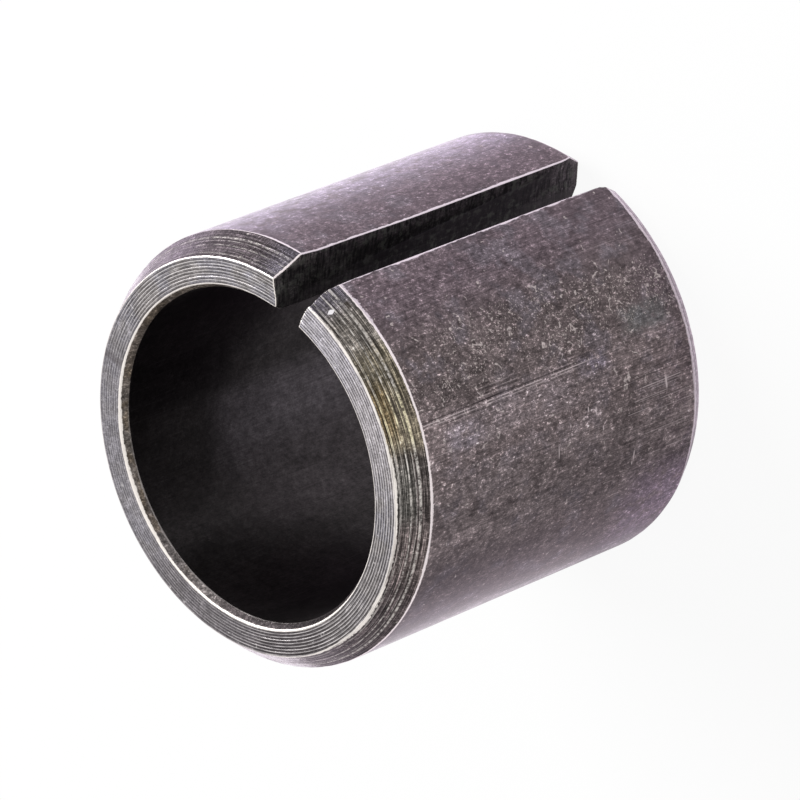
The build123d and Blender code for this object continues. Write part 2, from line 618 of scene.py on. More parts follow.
class Bench:
    """Adds nodes to one tree. Every method returns the output of the node that it adds."""

    def __init__(self, tree):
        self.tree = tree

    def add(self, kind, inputs=(), **settings):
        """A node of this kind. Inputs are given by name or place, as values or as other outputs."""
        node = self.tree.nodes.new(kind)
        for name, value in settings.items():
            setattr(node, name, value)
        for socket, value in dict(inputs).items():
            if isinstance(value, bpy.types.NodeSocket):
                self.tree.links.new(value, node.inputs[socket])
            else:
                node.inputs[socket].default_value = value
        return node

    def group(self, group, **inputs):
        """A group node, with its inputs named with underscores for spaces. Returns its outputs."""
        named = {name.replace("_", " "): value for name, value in inputs.items()}
        return self.add("ShaderNodeGroup", named, node_tree=group).outputs

    def send(self, outlet, **values):
        """Links values to the outputs of the group, named with underscores for spaces."""
        for name, value in values.items():
            self.tree.links.new(value, outlet[name.replace("_", " ")])

    def math(self, operation, *values):
        """One sum on numbers."""
        return self.add("ShaderNodeMath", dict(enumerate(values)), operation=operation).outputs[0]

    def plus(self, first, second):
        """first + second"""
        return self.math("ADD", first, second)

    def minus(self, first, second):
        """first - second"""
        return self.math("SUBTRACT", first, second)

    def times(self, first, second):
        """first * second"""
        return self.math("MULTIPLY", first, second)

    def over(self, first, second):
        """first / second"""
        return self.math("DIVIDE", first, second)

    def most(self, first, second):
        """The larger of the two."""
        return self.math("MAXIMUM", first, second)

    def gap(self, first, second):
        """How far apart the two are."""
        return self.math("ABSOLUTE", self.minus(first, second))

    def raised(self, start, mask, amount):
        """start + mask * amount"""
        return self.plus(start, self.times(mask, amount))

    def lowered(self, start, mask, amount):
        """start - mask * amount"""
        return self.minus(start, self.times(mask, amount))

    def weakened(self, value, mask, share):
        """The value, less this share of it where the mask is 1."""
        return self.times(value, self.lowered(1.0, mask, share))

    def swung(self, noise, amount):
        """Noise from 0 to 1 as a swing about zero: (noise - 0.5) * amount"""
        return self.times(self.minus(noise, 0.5), amount)

    def smooth(self, value, low, high, start=0.0, end=1.0):
        """Smooth step from start at low to end at high."""
        inputs = {0: value, 1: low, 2: high, 3: start, 4: end}
        return self.add("ShaderNodeMapRange", inputs, interpolation_type="SMOOTHSTEP").outputs[0]

    def fall(self, value, low, high):
        """Smooth step from 1 at low to 0 at high."""
        return self.smooth(value, low, high, 1.0, 0.0)

    def window(self, value, middle, reach, soft):
        """1 within reach of the middle, falling softly to 0 on both sides."""
        return self.fall(self.gap(value, middle), reach, reach + soft)

    def vector(self, x, y, z):
        """Three numbers as a vector."""
        return self.add("ShaderNodeCombineXYZ", {0: x, 1: y, 2: z}).outputs[0]

    def stretch(self, vector, factors):
        """The vector with each part multiplied."""
        inputs = {0: vector, 1: factors}
        return self.add("ShaderNodeVectorMath", inputs, operation="MULTIPLY").outputs[0]

    def shift(self, vector, steps):
        """The vector moved, which picks another part of the same noise."""
        inputs = {0: vector, 1: steps}
        return self.add("ShaderNodeVectorMath", inputs, operation="ADD").outputs[0]

    def noise(self, vector, size, detail=2.0, roughness=0.5):
        """Soft noise from 0 to 1 with lumps of this size, which may be a number or an output."""
        fixed = isinstance(size, (int, float))
        scale = 1 / size if fixed else self.over(1.0, size)
        inputs = {"Vector": vector, "Scale": scale, "Detail": detail, "Roughness": roughness}
        return self.add("ShaderNodeTexNoise", inputs).outputs[0]

    def blend(self, amount, first, second):
        """Mix of two colours."""
        inputs = {0: amount, 6: first, 7: second}
        return self.add("ShaderNodeMix", inputs, data_type="RGBA").outputs[2]

    def brighten(self, colour, octaves):
        """The colour times two to the power of octaves, so that lines and grains keep its hue."""
        factor = self.math("POWER", 2.0, octaves)
        grey = self.add("ShaderNodeCombineColor", {0: factor, 1: factor, 2: factor}).outputs[0]
        inputs = {0: 1.0, 6: colour, 7: grey}
        settings = {"data_type": "RGBA", "blend_type": "MULTIPLY"}
        return self.add("ShaderNodeMix", inputs, **settings).outputs[2]


print("a screen grey of 100 is", round(screen(100, 100, 100)[0], 4), "in linear light")

# %% [markdown]
# A group is a node tree with sockets of its own, so what several materials share is made once and
# each material sets the sockets its own way. `new_group` makes the sockets, and the cells after it
# fill one group each.

# %% New groups and emptied trees
def new_group(name, inputs, outputs):
    """An empty group with its sockets, and the bench, inlet and outlet to fill it with."""
    group = bpy.data.node_groups.new(name, "ShaderNodeTree")
    for label, (kind, value) in inputs.items():
        socket = group.interface.new_socket(label, in_out="INPUT", socket_type=kind)
        if value is not None:
            socket.default_value = value
    for label, kind in outputs.items():
        group.interface.new_socket(label, in_out="OUTPUT", socket_type=kind)
    inlet = group.nodes.new("NodeGroupInput")
    outlet = group.nodes.new("NodeGroupOutput")
    return group, Bench(group), inlet.outputs, outlet.inputs


def empty_tree(owner):
    """The node tree of a material or a world, without its nodes."""
    owner.use_nodes = True
    owner.node_tree.nodes.clear()
    return owner.node_tree


NUMBER, PLACE, COLOUR = "NodeSocketFloat", "NodeSocketVector", "NodeSocketColor"
print("kinds of socket:", NUMBER, PLACE, COLOUR)

# %% [markdown]
# ## Where on the bush
#
# Every finish starts from the same few facts, so they come from one group: the place in
# millimetres, the same place unrolled (arc length, distance across the stretch), the angle, the
# height, the distances to the two edges of the stretch and the distance to the slot.

# %% Group: place on the bush
place_group, bench, inlet, outlet = new_group(
    "place_on_bush", {},
    {"Place": PLACE, "Unrolled": PLACE, "Around": NUMBER, "Height": NUMBER,
     "From Start": NUMBER, "To End": NUMBER, "From Slot": NUMBER},
)
object_place = bench.add("ShaderNodeTexCoord").outputs["Object"]
place = bench.stretch(object_place, (1 / MILLIMETRE,) * 3)
parts = bench.add("ShaderNodeSeparateXYZ", {0: place}).outputs
stored = bench.add("ShaderNodeUVMap", uv_map="edges").outputs[0]
edges = bench.add("ShaderNodeSeparateXYZ", {0: stored}).outputs
around = bench.add("ShaderNodeAttribute", attribute_name="around").outputs["Fac"]
from_slot = bench.add("ShaderNodeAttribute", attribute_name="from_slot").outputs["Fac"]
arc = bench.times(around, math.radians(outer_radius))
bench.send(outlet, Place=place, Unrolled=bench.vector(arc, edges[0], 0.0), Around=around,
           Height=parts[2], From_Start=edges[0], To_End=edges[1], From_Slot=from_slot)
print("outputs:", [socket.name for socket in outlet if socket.name])

# %% [markdown]
# ## Worn edges
#
# Where two surfaces meet, handling rubs the black skin off and leaves a thin bright line. The
# mask is 1 on the edge and falls to 0 at a width that noise makes ragged. Two sizes of noise are
# used, because a worn edge has long thick and thin stretches and small teeth on them.

# %% Group: edge wear
LONG_STRETCH = 2.2
LEAST_WIDTH = 0.001
wear_group, bench, inlet, outlet = new_group(
    "edge_wear",
    {"Place": (PLACE, None), "Distance": (NUMBER, 1.0), "Width": (NUMBER, 0.1),
     "Ragged": (NUMBER, 0.5), "Tooth": (NUMBER, 0.25), "Seed": (NUMBER, 0.0)},
    {"Mask": NUMBER},
)
seeded = bench.shift(inlet["Place"], bench.vector(inlet["Seed"], inlet["Seed"], 0.0))
long_noise = bench.noise(seeded, LONG_STRETCH, 1.0)
tooth_noise = bench.noise(seeded, inlet["Tooth"])
swing = bench.minus(bench.plus(long_noise, tooth_noise), 1.0)
growth = bench.raised(1.0, bench.times(swing, 3.0), inlet["Ragged"])
ragged_width = bench.times(inlet["Width"], bench.most(growth, 0.0))
share = bench.over(inlet["Distance"], bench.most(ragged_width, LEAST_WIDTH))
bench.send(outlet, Mask=bench.fall(share, 0.75, 1.25))
print("edge_wear has", len(bench.tree.nodes), "nodes")

# %% [markdown]
# ## Tool rings as colour
#
# The rings of the mesh need their colour in step with them: the ridges are rubbed, the hollows
# keep the black, darkest in a thin line on one flank. Ridges aren't rubbed evenly, so noise drawn
# out along the ring breaks them into dashes.

# %% Group: tool rings
GROOVE_PLACE, GROOVE_REACH, GROOVE_SOFT = 0.66, 0.05, 0.12
ring_group, bench, inlet, outlet = new_group(
    "tool_rings",
    {"Distance": (NUMBER, 0.0), "Pitch": (NUMBER, 0.2), "Ridge": (NUMBER, 0.4),
     "Unrolled": (PLACE, None), "Dash": (NUMBER, 1.2), "Broken": (NUMBER, 0.5)},
    {"Mask": NUMBER, "Groove": NUMBER, "Hollow": NUMBER},
)
part_gone = bench.math("FRACT", bench.over(inlet["Distance"], inlet["Pitch"]))
from_ridge = bench.minus(1.0, bench.gap(bench.times(part_gone, 2.0), 1.0))
ridge = bench.fall(from_ridge, bench.times(inlet["Ridge"], 0.5), inlet["Ridge"])
dash_place = bench.stretch(inlet["Unrolled"], (1.0, 6.0, 1.0))
gaps = bench.smooth(bench.noise(dash_place, inlet["Dash"], 3.0), 0.35, 0.62)
kept = bench.raised(bench.minus(1.0, inlet["Broken"]), inlet["Broken"], gaps)
groove = bench.window(part_gone, GROOVE_PLACE, GROOVE_REACH, GROOVE_SOFT)
bench.send(outlet, Mask=bench.times(ridge, kept), Groove=groove, Hollow=from_ridge)
print("tool_rings has", len(bench.tree.nodes), "nodes")

# %% [markdown]
# ## Flecks and hairs
#
# Small crystals and rubbed points flash in the black skin. They are the tops of a fine noise: the
# level it is cut at decides how much of the surface they cover, and it can follow a mask, so that
# they gather where the bush was handled. Hairs are short curved scratches. They lie where a wide
# noise passes through its middle value, which draws thin closed curves, and a second noise keeps
# only short pieces of them.

# %% Groups: flecks and hairs
HAIR_THIN, HAIR_THICK = 0.007, 0.026
HAIR_PIECE = 0.45


def tops(bench, noise, highest, span, share, soft):
    """1 where the noise is above a level, which falls from highest by the span as share grows."""
    level = bench.lowered(highest, share, span)
    return bench.smooth(noise, level, bench.plus(level, soft))


fleck_group, bench, inlet, outlet = new_group(
    "flecks",
    {"Place": (PLACE, None), "Size": (NUMBER, 0.16), "Share": (NUMBER, 0.3)},
    {"Mask": NUMBER},
)
fine_noise = bench.noise(bench.shift(inlet["Place"], (3, 6, 1)), inlet["Size"], 2.0, 0.6)
bench.send(outlet, Mask=tops(bench, fine_noise, 0.79, 0.24, inlet["Share"], 0.09))

hair_group, bench, inlet, outlet = new_group(
    "hairs",
    {"Place": (PLACE, None), "Size": (NUMBER, 1.1), "Share": (NUMBER, 0.3)},
    {"Mask": NUMBER},
)
from_middle = bench.gap(bench.noise(inlet["Place"], inlet["Size"]), 0.5)
thread = bench.fall(from_middle, HAIR_THIN, HAIR_THICK)
pieces_noise = bench.noise(bench.shift(inlet["Place"], (5, 2, 9)), HAIR_PIECE, 1.0)
pieces_kept = tops(bench, pieces_noise, 0.76, 0.3, inlet["Share"], 0.06)
bench.send(outlet, Mask=bench.times(thread, pieces_kept))
print("groups so far:", sorted(group.name for group in bpy.data.node_groups))

# %% [markdown]
# ## Black skin
#
# Blackening grows a thin oxide skin that takes the grain of the steel. Its tone swings about a
# middle colour at three sizes: clouds of a few millimetres, lumps of about one, and a grain of
# some tenths with ever finer grain in it, drawn out a little along the bush. The sum is used as
# an exponent of two, so that light grains stand out more than dark ones, and the lightest grains
# are lifted once more, as sparks.

# %% Group: black skin
GRAIN_SIZE = 0.22
LUMP_SIZE = 0.85
CLOUD_SIZE = 5.0
SPARK_LEVEL = 0.57
skin_group, bench, inlet, outlet = new_group(
    "black_skin",
    {"Place": (PLACE, None), "Colour": (COLOUR, screen(110, 99, 100)), "Grain": (NUMBER, 6.0),
     "Spark": (NUMBER, 9.0), "Lump": (NUMBER, 1.9), "Cloud": (NUMBER, 0.8)},
    {"Colour": COLOUR, "Swing": NUMBER, "Grain": NUMBER},
)
grain_place = bench.stretch(inlet["Place"], (1.0, 1.0, 0.66))
grain = bench.noise(grain_place, GRAIN_SIZE, 2.0, 1.0)
lumps = bench.noise(bench.shift(inlet["Place"], (2, 9, 4)), LUMP_SIZE, 1.0, 0.9)
clouds = bench.noise(bench.shift(inlet["Place"], (7, 3, 5)), CLOUD_SIZE)
swing = bench.plus(bench.swung(grain, inlet["Grain"]), bench.swung(lumps, inlet["Lump"]))
swing = bench.plus(swing, bench.swung(clouds, inlet["Cloud"]))
sparks = bench.most(bench.minus(grain, SPARK_LEVEL), 0.0)
swing = bench.raised(swing, sparks, inlet["Spark"])
bench.send(outlet, Colour=bench.brighten(inlet["Colour"], swing), Swing=swing, Grain=grain)
print("black_skin has", len(bench.tree.nodes), "nodes")

# %% [markdown]
# ## Streaks and scratches
#
# A surface that was cut or rubbed one way has fine lines that way. Noise squeezed hard across the
# lines and drawn out along them gives such streaks, and its tops are the bright lines. The two
# sizes are given round the bush and across the stretch, so one group serves lines along the bush
# and rings round it. One long scratch is a narrow window on the angle, between two heights.

# %% Groups: streaks and single scratch
streak_group, bench, inlet, outlet = new_group(
    "streaks",
    {"Unrolled": (PLACE, None), "Around Size": (NUMBER, 0.1), "Across Size": (NUMBER, 5.0),
     "Share": (NUMBER, 0.4)},
    {"Streak": NUMBER, "Mask": NUMBER},
)
squeeze = bench.vector(bench.over(1.0, inlet["Around Size"]),
                       bench.over(1.0, inlet["Across Size"]), 1.0)
lines = bench.noise(bench.stretch(inlet["Unrolled"], squeeze), 1.0, 3.0, 0.6)
bright_lines = tops(bench, lines, 0.72, 0.3, inlet["Share"], 0.1)
bench.send(outlet, Streak=lines, Mask=bright_lines)

scratch_group, bench, inlet, outlet = new_group(
    "single_scratch",
    {"Around": (NUMBER, 0.0), "Height": (NUMBER, 0.0), "At": (NUMBER, 180.0),
     "From": (NUMBER, 0.0), "To": (NUMBER, 10.0), "Width": (NUMBER, 0.2), "Fade": (NUMBER, 2.0)},
    {"Mask": NUMBER},
)
off_line = bench.gap(inlet["Around"], inlet["At"])
line = bench.fall(off_line, bench.times(inlet["Width"], 0.3), inlet["Width"])
begun = bench.smooth(inlet["Height"], inlet["From"], bench.plus(inlet["From"], inlet["Fade"]))
ended = bench.fall(inlet["Height"], bench.lowered(inlet["To"], inlet["Fade"], 0.1), inlet["To"])
bench.send(outlet, Mask=bench.times(line, bench.times(begun, ended)))
print("groups so far:", sorted(group.name for group in bpy.data.node_groups))

# %% [markdown]
# ## The six surfaces
#
# Each surface has a material of its own, but they share one ending: a metallic shader whose
# colour, roughness and normal change over the surface. Blackened steel still reflects like a
# metal, only weakly, and its edge tint is a little violet from the oxide. A `Desk` is a bench with
# the place on the bush at hand, and with short names for what several surfaces use: a `band` runs
# along the bush at an angle, a `field` is a soft patch at an angle and a height, `patched` blends
# such patches over a colour, `worn` is the wear along one edge, and `scratched` is the strongest
# of a few scratches.

# %% Shared parts
EDGE_TINT = (1.0, 0.92, 1.0, 1.0)
GRAIN_STEP = 0.00001
MARK_STEP = 0.00002
BARE_STEEL = screen(246, 235, 236)
POLISHED = screen(241, 234, 228)
PREVIEW = screen(103, 93, 95)
THICK_END = (347.0, 6.0, 2.5)
DULL_RIM = (216.0, 18.0, 14.0)
SLOT_SEED = 7.0


class Desk(Bench):
    """A bench for the material of one surface. Its outputs of the place group are in `at`."""

    def __init__(self, name):
        self.material = bpy.data.materials.new(name)
        super().__init__(empty_tree(self.material))
        self.at = self.group(place_group)

    def band(self, middle, reach, fade):
        """Soft band along the bush, in degrees round it."""
        return self.window(self.at["Around"], middle, reach, fade)

    def field(self, around, height):
        """Soft patch. Around and height are both (middle, reach, fade), in degrees and mm."""
        return self.times(self.band(*around), self.window(self.at["Height"], *height))

    def patched(self, ground, mask_at, patches):
        """The ground with patches on it: for each its place, for mask_at, its strength and tone."""
        for *place, strength, tone in patches:
            ground = self.blend(self.times(mask_at(*place), strength), ground, screen(*tone))
        return ground

    def skin(self, ground, **swings):
        """The outputs of the black skin over this ground colour."""
        return self.group(skin_group, Place=self.at["Place"], Colour=ground, **swings)

    def streaks(self, around_size, across_size, **share):
        """The outputs of the streaks, with their sizes round the bush and across the stretch."""
        return self.group(streak_group, Unrolled=self.at["Unrolled"], Around_Size=around_size,
                          Across_Size=across_size, **share)

    def flecks(self, size, share):
        """Mask of flecks of bare steel."""
        return self.group(fleck_group, Place=self.at["Place"], Size=size, Share=share)["Mask"]

    def hairs(self, size, share):
        """Mask of short curved scratches."""
        return self.group(hair_group, Place=self.at["Place"], Size=size, Share=share)["Mask"]

    def worn(self, edge, width, ragged, tooth=0.25, seed=0.0):
        """Wear along one edge, which is named by the output that holds the distance from it."""
        return self.group(wear_group, Place=self.at["Place"], Distance=self.at[edge], Width=width,
                          Ragged=ragged, Tooth=tooth, Seed=seed)["Mask"]

    def scratched(self, scratches, fade=2.0):
        """Strongest of some scratches, each as angle, lower end, upper end, width, strength."""
        strongest = 0.0
        for angle_at, lower_end, upper_end, breadth, strength in scratches:
            line = self.group(
                scratch_group, Around=self.at["Around"], Height=self.at["Height"], At=angle_at,
                From=lower_end, To=upper_end, Width=breadth, Fade=fade)["Mask"]
            strongest = self.most(strongest, self.times(line, strength))
        return strongest

    def finish(self, colour, roughness, grain, marks):
        """The shader, a metal with two bumps in a row: the grain, then the marks. Returns the
        finished material."""
        fine = self.add("ShaderNodeBump", {
            "Height": grain, "Distance": GRAIN_STEP, "Strength": 1.0})
        coarse = self.add("ShaderNodeBump", {
            "Height": marks, "Distance": MARK_STEP, "Strength": 1.0, "Normal": fine.outputs[0]})
        shader = self.add("ShaderNodeBsdfPrincipled", {
            "Base Color": colour, "Metallic": 1.0, "Roughness": roughness,
            "Specular Tint": EDGE_TINT, "Normal": coarse.outputs[0]})
        self.add("ShaderNodeOutputMaterial", {"Surface": shader.outputs[0]})
        self.material.diffuse_color = PREVIEW
        print(self.material.name + ":", len(self.tree.nodes), "nodes")
        return self.material


print("bare steel in linear light:", [round(c, 2) for c in BARE_STEEL[:3]])

# %% [markdown]
# ### The outside
#
# The black skin is brownish grey, with a violet cast beside the slot and at the plain end. Fields
# of it are lighter, darker or bluer, and the far side has none of them: it wasn't rubbed, and the
# painted sheen among them is kept to the near side. The pale bands at 53 and 66 degrees and at 234
# degrees are painted sheen, the bright grazing reflection near the outline, and the small dark spot
# at 244 degrees is a painted dark reflection. The grain is livelier where the bush was handled and
# quieter beside the slot. The bevel at the plain end has painted light on one side, a near-white
# steel tone, and painted shade on the other, a dull dark tone.

# %% Material: outside, its skin
desk = Desk("outside_black")
at = desk.at
beside_slot = desk.fall(at["From Slot"], 2.0, 6.5)
near_foot = desk.fall(at["Height"], 1.4, 5.4)
violet = desk.most(beside_slot, desk.times(near_foot, 0.7))
ground = desk.blend(violet, screen(100, 90, 91), screen(102, 90, 96))
patch_noise = desk.noise(desk.shift(at["Place"], (4, 1, 8)), 2.2, 3.0, 0.6)
bluer = desk.times(desk.smooth(patch_noise, 0.5, 0.64), 0.5)
ground = desk.blend(bluer, ground, screen(112, 106, 114))
full_length = (length / 2, length, 1.0)
# Mask of the near half: it holds the rubbed fields and the painted sheen near the outline.
rubbed_and_sheen_side = desk.most(desk.fall(at["Around"], 50.0, 64.0),
                        desk.smooth(at["Around"], 218.0, 229.0))
for around, height, strength, tone in (
    ((304.0, 4.0, 15.0), full_length, 0.6, (124, 112, 113)),
    ((283.0, 7.0, 10.0), full_length, 0.85, (126, 115, 116)),
    # Painted sheen: pale bands near the upper outline, for the bright grazing reflection there.
    ((53.0, 4.0, 34.0), full_length, 1.0, (188, 177, 203)),
    ((66.0, 8.0, 26.0), full_length, 1.0, (244, 236, 247)),
    ((256.0, 14.0, 12.0), (1.5, 3.0, 3.0), 0.6, (112, 99, 114)),
    # Painted sheen: a pale band near the lower outline.
    ((234.0, 4.0, 10.0), full_length, 1.0, (170, 160, 168)),
    ((307.0, 3.0, 4.0), (14.9, 4.0, 4.0), 0.4, (138, 127, 131)),
    ((317.0, 1.5, 3.5), (17.4, 4.0, 3.0), 0.55, (84, 76, 76)),
    ((310.6, 1.2, 2.4), (8.9, 0.5, 1.1), 0.7, (132, 124, 138)),
    ((317.0, 2.0, 3.0), (3.9, 1.0, 1.6), 0.5, (90, 95, 95)),
    ((305.5, 2.0, 2.5), (19.9, 0.7, 1.2), 0.5, (136, 128, 138)),
    # Painted dark reflection: a small dark spot near the lower outline.
    ((244.0, 0.4, 1.2), (11.3, 1.5, 0.7), 0.8, (58, 52, 54)),
):
    torn_noise = desk.noise(desk.shift(at["Place"], (around[0], 0, 0)), 0.9, 3.0, 0.7)
    torn = desk.times(desk.smooth(torn_noise, 0.3, 0.56), strength)
    reached = desk.times(desk.field(around, height), rubbed_and_sheen_side)
    ground = desk.blend(desk.times(reached, torn), ground, screen(*tone))
# Painted light and shade, in octaves: at 256 degrees lighter towards the foot and darker towards
# the leading end, at 302 degrees lighter near the foot, and at 326 degrees a little darker.
painted_light_octaves = desk.times(desk.band(256.0, 12.0, 10.0), desk.lowered(1.06, at["Height"], 0.08))
painted_foot_light = desk.smooth(at["Height"], 1.2, 7.0, 0.4, 0.0)
painted_light_octaves = desk.raised(painted_light_octaves, desk.band(302.0, 18.0, 8.0), painted_foot_light)
painted_light_octaves = desk.lowered(painted_light_octaves, desk.band(326.0, 8.0, 6.0), 0.14)
ground = desk.brighten(ground, painted_light_octaves)

short_side = desk.band(foot_short_angle, foot_short_reach, foot_short_fade)
rim_height = desk.lowered(foot_bevel_length, short_side, foot_short)
on_foot_bevel = desk.fall(at["Height"], desk.minus(rim_height, 0.04), rim_height)
# Painted light and shade on the foot bevel: past 284 degrees the lit, near-white steel tone, paler
# still close to the rim, and before 266 degrees a dark tone as painted shade.
near_rim = desk.fall(at["To End"], 0.2, 0.42)
lit_bevel_tone = desk.blend(near_rim, screen(205, 194, 202), screen(250, 238, 244))
painted_lit_side = desk.smooth(at["Around"], 266.0, 284.0)
lit_and_shaded_bevel = desk.blend(painted_lit_side, screen(118, 110, 116), lit_bevel_tone)
ground = desk.blend(on_foot_bevel, ground, lit_and_shaded_bevel)
busy = desk.times(desk.band(313.0, 15.0, 10.0), desk.smooth(at["Height"], 5.0, 9.0))
quiet = desk.times(desk.band(346.0, 12.0, 6.0), desk.fall(at["Height"], 4.0, 10.0))
skin = desk.skin(ground, Cloud=desk.plus(0.8, busy),
                 Grain=desk.lowered(desk.raised(4.3, busy, 0.9), quiet, 1.4),
                 Spark=desk.lowered(desk.raised(5.0, busy, 2.4), quiet, 2.5))
colour = skin["Colour"]
print("outside so far:", len(desk.tree.nodes), "nodes")

# %% [markdown]
# Flecks of bare steel and small curved hairs gather on the side that was handled most. Fine lines
# run along the bush, then a bundle of long scratches with dark shades beside them, short scratches
# near the plain end, and ticks, which are dents so short that they look like small bars. All the
# edges are rubbed bright.

# %% Material: outside, its marks
handled_noise = desk.noise(at["Place"], 3.4, 3.0, 0.6)
handled = desk.times(desk.band(313.0, 20.0, 16.0), desk.smooth(handled_noise, 0.36, 0.62))
sparkling = desk.band(325.0, 6.0, 6.0)
more_flecks = desk.raised(desk.times(handled, 0.4), sparkling, 0.26)
flecks = desk.flecks(0.12, desk.lowered(desk.plus(0.22, more_flecks), quiet, 0.2))
shining = desk.times(flecks, desk.raised(0.35, sparkling, 0.35))
colour = desk.blend(shining, colour, screen(212, 200, 196))
hairs = desk.hairs(1.1, desk.raised(0.3, handled, 0.35))
colour = desk.blend(desk.times(hairs, 0.55), colour, screen(214, 202, 200))

drawn = desk.streaks(0.09, 3.5)["Streak"]
lined = 0.12
for mask, strength in (
    (desk.field((296.0, 7.0, 4.0), (3.6, 2.5, 3.0)), 0.12),
    (desk.band(308.0, 6.0, 6.0), 0.28),
    (desk.band(345.0, 6.0, 5.0), 0.25),
    (desk.band(285.0, 10.0, 5.0), 0.2),
):
    lined = desk.raised(lined, mask, strength)
colour = desk.brighten(colour, desk.times(desk.swung(drawn, 8.0), lined))
scratches = desk.scratched((
    (310.8, 9.4, 23.3, 0.18, 0.45), (311.5, 8.4, 23.3, 0.18, 0.65), (311.6, 4.4, 9.7, 0.12, 0.3),
    (313.1, 14.4, 18.4, 0.16, 0.35), (314.1, 14.1, 18.7, 0.16, 0.3),
    (315.1, 14.7, 18.1, 0.16, 0.25), (294.6, 7.4, 18.4, 0.12, 0.3),
    (303.2, 19.1, 23.2, 0.12, 0.3), (338.0, 2.1, 9.1, 0.1, 0.2),
))
short_scratches = desk.scratched((
    (299.5, 2.0, 5.4, 0.16, 0.75), (298.9, 2.2, 5.0, 0.12, 0.55), (298.2, 1.9, 4.6, 0.1, 0.45),
    (296.6, 3.2, 6.2, 0.14, 0.55), (296.1, 3.4, 5.8, 0.1, 0.4), (294.9, 1.3, 4.0, 0.12, 0.4),
    (293.7, 4.8, 6.8, 0.14, 0.55), (292.4, 1.2, 4.4, 0.12, 0.45), (286.8, 1.2, 5.3, 0.14, 0.55),
    (286.1, 1.6, 4.6, 0.1, 0.4), (280.5, 1.4, 3.2, 0.14, 0.55), (280.4, 3.7, 4.9, 0.14, 0.5),
), fade=0.25)
ticks = desk.scratched((
    (299.6, 9.95, 10.07, 1.0, 0.9), (298.4, 9.32, 9.44, 1.5, 0.9), (293.2, 8.84, 8.95, 0.9, 0.95),
    (297.2, 11.52, 11.64, 0.6, 0.7), (291.6, 12.6, 12.7, 2.3, 0.8), (298.6, 3.3, 3.47, 2.4, 1.0),
    (281.9, 6.08, 6.2, 2.0, 0.9), (279.8, 6.17, 6.28, 0.7, 0.9),
), fade=0.04)
shades = desk.scratched((
    (312.1, 9.4, 23.1, 0.26, 0.65), (312.15, 15.1, 18.5, 0.3, 0.9), (313.6, 14.4, 18.4, 0.18, 0.4),
    (314.6, 14.1, 18.7, 0.18, 0.4), (310.2, 11.4, 21.9, 0.16, 0.35), (22.5, 0.4, 11.4, 0.5, 0.3),
))
colour = desk.blend(shades, colour, screen(44, 38, 40))
interrupted = desk.times(scratches, desk.smooth(desk.noise(at["Place"], 0.5), 0.34, 0.56))
all_scratches = desk.most(interrupted, desk.most(short_scratches, ticks))
colour = desk.blend(all_scratches, colour, screen(214, 200, 202))
foot_groove = desk.times(desk.window(at["To End"], 0.5, 0.06, 0.1), on_foot_bevel)
colour = desk.blend(desk.times(foot_groove, 0.55), colour, screen(110, 102, 106))

thick_end = desk.band(*THICK_END)
plain_side = desk.band(45.0, 18.0, 8.0)
end_width = desk.raised(desk.lowered(0.115, plain_side, 0.09), thick_end, 0.03)
end_wear = desk.worn("To End", end_width, desk.raised(0.4, thick_end, 0.6), 0.14)
end_wear = desk.weakened(end_wear, thick_end, 0.3)
foot_strength = desk.smooth(at["Around"], 262.0, 272.0, 0.2, 0.8)
foot_wear = desk.times(desk.worn("From Start", 0.08, 0.7, seed=3.0), foot_strength)
minus_side = desk.smooth(at["Around"], 180.0, 190.0)
slot_width = desk.raised(0.07, minus_side, 0.05)
slot_wear = desk.worn("From Slot", slot_width, 0.6, 0.4, SLOT_SEED)
covered = desk.times(minus_side, desk.fall(at["Height"], 1.8, 3.4))
slot_wear = desk.times(slot_wear, desk.lowered(0.88, covered, 0.88))
wear = desk.most(desk.most(end_wear, foot_wear), slot_wear)
edge_steel = desk.blend(desk.times(violet, 0.8), BARE_STEEL, screen(240, 226, 239))
colour = desk.blend(wear, colour, edge_steel)
roughness = desk.raised(0.24, skin["Swing"], 0.02)
outside = desk.finish(colour, roughness, skin["Grain"], desk.minus(desk.times(flecks, 0.3), shades))

# %% [markdown]
# ### The lead-in bevel
#
# The bevel kept more of its tool marks: many fine lines of uneven strength and a few rubbed
# ridges, the broadest of them beaded, with dark grooves between. The skin is brown grey, stained
# gold and brown by old oil in one place, a little green beside it and violet on the far side.
# Near-white bands near both outlines, at 76 and 204 degrees, are painted highlights. Close to the
# slot it has one bare, spindle-shaped spot.

# %% Material: lead-in bevel, its skin
desk = Desk("lead_in_black")
at = desk.at
across = desk.over(at["From Start"], desk.plus(at["From Start"], at["To End"]))
fine = desk.streaks(2.5, 0.07)["Streak"]
cross = desk.streaks(0.09, 0.9)["Streak"]
# A patch that begins before the bevel does covers the whole of it.
whole = (-0.2, 0.0)


def bevel_patch(around, begins):
    """Soft band round the bush, which begins at a share of the way across the bevel."""
    return desk.times(desk.band(*around), desk.smooth(across, *begins))


